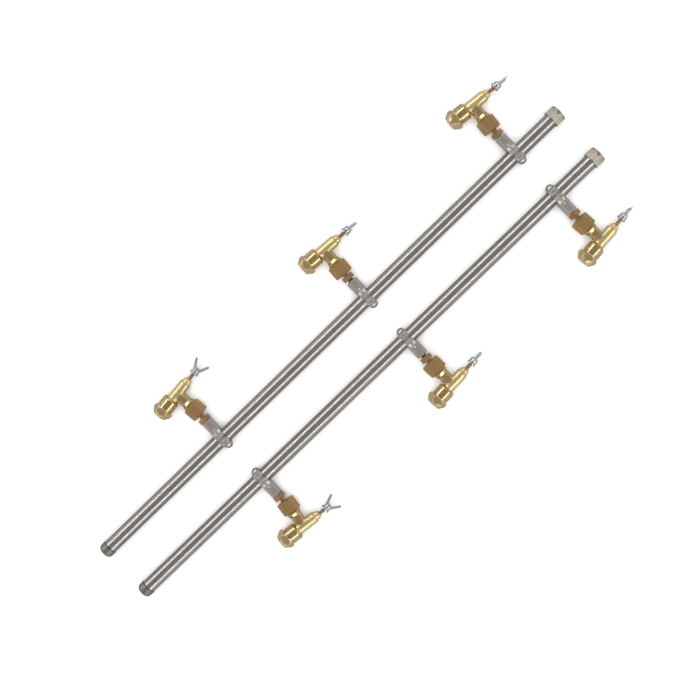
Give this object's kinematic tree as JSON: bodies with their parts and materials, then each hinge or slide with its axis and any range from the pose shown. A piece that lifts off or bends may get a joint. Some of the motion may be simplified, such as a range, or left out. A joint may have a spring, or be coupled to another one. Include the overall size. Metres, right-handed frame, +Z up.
{
  "type": "burner assembly",
  "caption": "Stainless burner rails with hex inlets and round caps, carrying split eyelet clamp take-offs, adjustable ball fittings and brass needle jet valves with wing nuts.",
  "frame": {"origin": "on the surface the assembly lies on, under the middle of its bounding box", "axes": "+X along the rails towards the hexagonal inlet couplings, +Y from rail B towards rail A, +Z up from the surface"},
  "size_m": [0.9148, 0.302, 0.0295],
  "materials": {
    "stainless_tube": "drawn stainless tube, brushed along its length, warm grey",
    "cast_stainless": "investment cast stainless, satin, slightly rough",
    "screw_steel": "bright stainless screw",
    "red_brass": "reddish brass, turned",
    "dull_brass": "dull olive brown brass, satin",
    "bright_brass": "bright turned brass",
    "zinc_plate": "zinc plated, bluish grey"
  },
  "bodies": {
    "rail_a": {"rail_a_pipe": "stainless_tube", "rail_a_inlet_coupling": "cast_stainless", "rail_a_end_cap": "stainless_tube", "a1_clamp_saddle": "cast_stainless", "a1_clamp_strap": "cast_stainless", "a1_clamp_screw": "screw_steel", "a2_clamp_saddle": "cast_stainless", "a2_clamp_strap": "cast_stainless", "a2_clamp_screw": "screw_steel", "a3_clamp_saddle": "cast_stainless", "a3_clamp_strap": "cast_stainless", "a3_clamp_screw": "screw_steel"},
    "a1_ball": {"a1_ball_nipple": "red_brass"},
    "a1_valve": {"a1_ball_nut": "dull_brass", "a1_valve_body": "bright_brass", "a1_jet_cap": "bright_brass"},
    "a1_stem": {"a1_needle_stem": "red_brass"},
    "a1_wing": {"a1_wing_nut": "zinc_plate"},
    "a2_ball": {"a2_ball_nipple": "red_brass"},
    "a2_valve": {"a2_ball_nut": "dull_brass", "a2_valve_body": "bright_brass", "a2_jet_cap": "bright_brass"},
    "a2_stem": {"a2_needle_stem": "red_brass"},
    "a2_wing": {"a2_wing_nut": "zinc_plate"},
    "a3_ball": {"a3_ball_nipple": "red_brass"},
    "a3_valve": {"a3_ball_nut": "dull_brass", "a3_valve_body": "bright_brass", "a3_jet_cap": "bright_brass"},
    "a3_stem": {"a3_needle_stem": "red_brass"},
    "a3_wing": {"a3_wing_nut": "zinc_plate"},
    "rail_b": {"rail_b_pipe": "stainless_tube", "rail_b_inlet_coupling": "cast_stainless", "rail_b_end_cap": "stainless_tube", "b1_clamp_saddle": "cast_stainless", "b1_clamp_strap": "cast_stainless", "b1_clamp_screw": "screw_steel", "b2_clamp_saddle": "cast_stainless", "b2_clamp_strap": "cast_stainless", "b2_clamp_screw": "screw_steel", "b3_clamp_saddle": "cast_stainless", "b3_clamp_strap": "cast_stainless", "b3_clamp_screw": "screw_steel"},
    "b1_ball": {"b1_ball_nipple": "red_brass"},
    "b1_valve": {"b1_ball_nut": "dull_brass", "b1_valve_body": "bright_brass", "b1_jet_cap": "bright_brass"},
    "b1_stem": {"b1_needle_stem": "red_brass"},
    "b1_wing": {"b1_wing_nut": "zinc_plate"},
    "b2_ball": {"b2_ball_nipple": "red_brass"},
    "b2_valve": {"b2_ball_nut": "dull_brass", "b2_valve_body": "bright_brass", "b2_jet_cap": "bright_brass"},
    "b2_stem": {"b2_needle_stem": "red_brass"},
    "b2_wing": {"b2_wing_nut": "zinc_plate"},
    "b3_ball": {"b3_ball_nipple": "red_brass"},
    "b3_valve": {"b3_ball_nut": "dull_brass", "b3_valve_body": "bright_brass", "b3_jet_cap": "bright_brass"},
    "b3_stem": {"b3_needle_stem": "red_brass"},
    "b3_wing": {"b3_wing_nut": "zinc_plate"}
  },
  "joints": [
    {"name": "a1_swivel", "type": "hinge", "parent": "rail_a", "child": "a1_ball", "pos_m": [-0.2117, 0.09545, 0.0145], "axis": [0, 1, 0], "continuous": true},
    {"name": "a1_tilt", "type": "hinge", "parent": "a1_ball", "child": "a1_valve", "pos_m": [-0.2117, 0.09545, 0.0145], "axis": [0, 0, 1], "range_deg": [-22.1, 9.9]},
    {"name": "a1_stem_travel", "type": "slide", "parent": "a1_valve", "child": "a1_stem", "axis": [0.9943, 0.1063, 0], "range_m": [-0.0044, 0.003]},
    {"name": "a1_wing_turn", "type": "hinge", "parent": "a1_stem", "child": "a1_wing", "pos_m": [-0.21567, 0.13264, 0.0145], "axis": [0.9943, 0.1063, 0], "range_deg": [-1585, 1081]},
    {"name": "a2_swivel", "type": "hinge", "parent": "rail_a", "child": "a2_ball", "pos_m": [0.0811, 0.09545, 0.0145], "axis": [0, 1, 0], "continuous": true},
    {"name": "a2_tilt", "type": "hinge", "parent": "a2_ball", "child": "a2_valve", "pos_m": [0.0811, 0.09545, 0.0145], "axis": [0, 0, 1], "range_deg": [-12.7, 19.3]},
    {"name": "a2_stem_travel", "type": "slide", "parent": "a2_valve", "child": "a2_stem", "axis": [0.9983, -0.0576, 0], "range_m": [-0.0044, 0.003]},
    {"name": "a2_wing_turn", "type": "hinge", "parent": "a2_stem", "child": "a2_wing", "pos_m": [0.08325, 0.13279, 0.0145], "axis": [0.9983, -0.0576, 0], "range_deg": [-1585, 1081]},
    {"name": "a3_swivel", "type": "hinge", "parent": "rail_a", "child": "a3_ball", "pos_m": [0.3739, 0.09545, 0.0145], "axis": [0, 1, 0], "continuous": true},
    {"name": "a3_tilt", "type": "hinge", "parent": "a3_ball", "child": "a3_valve", "pos_m": [0.3739, 0.09545, 0.0145], "axis": [0, 0, 1], "range_deg": [-11, 21]},
    {"name": "a3_stem_travel", "type": "slide", "parent": "a3_valve", "child": "a3_stem", "axis": [0.9962, -0.0872, 0], "range_m": [-0.0044, 0.003]},
    {"name": "a3_wing_turn", "type": "hinge", "parent": "a3_stem", "child": "a3_wing", "pos_m": [0.37716, 0.13271, 0.0145], "axis": [0.9962, -0.0872, 0], "range_deg": [-1585, 1081]},
    {"name": "rail_b_slide", "type": "slide", "parent": "rail_a", "child": "rail_b", "axis": [0, -1, 0], "range_m": [-0.03, 0.2]},
    {"name": "b1_swivel", "type": "hinge", "parent": "rail_b", "child": "b1_ball", "pos_m": [-0.2117, -0.09545, 0.0145], "axis": [0, -1, 0], "continuous": true},
    {"name": "b1_tilt", "type": "hinge", "parent": "b1_ball", "child": "b1_valve", "pos_m": [-0.2117, -0.09545, 0.0145], "axis": [0, 0, -1], "range_deg": [-22.1, 9.9]},
    {"name": "b1_stem_travel", "type": "slide", "parent": "b1_valve", "child": "b1_stem", "axis": [0.9943, -0.1063, 0], "range_m": [-0.0044, 0.003]},
    {"name": "b1_wing_turn", "type": "hinge", "parent": "b1_stem", "child": "b1_wing", "pos_m": [-0.21567, -0.13264, 0.0145], "axis": [0.9943, -0.1063, 0], "range_deg": [-1585, 1081]},
    {"name": "b2_swivel", "type": "hinge", "parent": "rail_b", "child": "b2_ball", "pos_m": [0.0811, -0.09545, 0.0145], "axis": [0, -1, 0], "continuous": true},
    {"name": "b2_tilt", "type": "hinge", "parent": "b2_ball", "child": "b2_valve", "pos_m": [0.0811, -0.09545, 0.0145], "axis": [0, 0, -1], "range_deg": [-12.7, 19.3]},
    {"name": "b2_stem_travel", "type": "slide", "parent": "b2_valve", "child": "b2_stem", "axis": [0.9983, 0.0576, 0], "range_m": [-0.0044, 0.003]},
    {"name": "b2_wing_turn", "type": "hinge", "parent": "b2_stem", "child": "b2_wing", "pos_m": [0.08325, -0.13279, 0.0145], "axis": [0.9983, 0.0576, 0], "range_deg": [-1585, 1081]},
    {"name": "b3_swivel", "type": "hinge", "parent": "rail_b", "child": "b3_ball", "pos_m": [0.3739, -0.09545, 0.0145], "axis": [0, -1, 0], "continuous": true},
    {"name": "b3_tilt", "type": "hinge", "parent": "b3_ball", "child": "b3_valve", "pos_m": [0.3739, -0.09545, 0.0145], "axis": [0, 0, -1], "range_deg": [-11, 21]},
    {"name": "b3_stem_travel", "type": "slide", "parent": "b3_valve", "child": "b3_stem", "axis": [0.9962, 0.0872, 0], "range_m": [-0.0044, 0.003]},
    {"name": "b3_wing_turn", "type": "hinge", "parent": "b3_stem", "child": "b3_wing", "pos_m": [0.37716, -0.13271, 0.0145], "axis": [0.9962, 0.0872, 0], "range_deg": [-1585, 1081]}
  ],
  "couplings": [
    {"joint": "a1_wing_turn", "follows": "a1_stem_travel", "rad_per_m": 6283.2},
    {"joint": "a2_wing_turn", "follows": "a2_stem_travel", "rad_per_m": 6283.2},
    {"joint": "a3_wing_turn", "follows": "a3_stem_travel", "rad_per_m": 6283.2},
    {"joint": "b1_wing_turn", "follows": "b1_stem_travel", "rad_per_m": 6283.2},
    {"joint": "b2_wing_turn", "follows": "b2_stem_travel", "rad_per_m": 6283.2},
    {"joint": "b3_wing_turn", "follows": "b3_stem_travel", "rad_per_m": 6283.2}
  ]
}
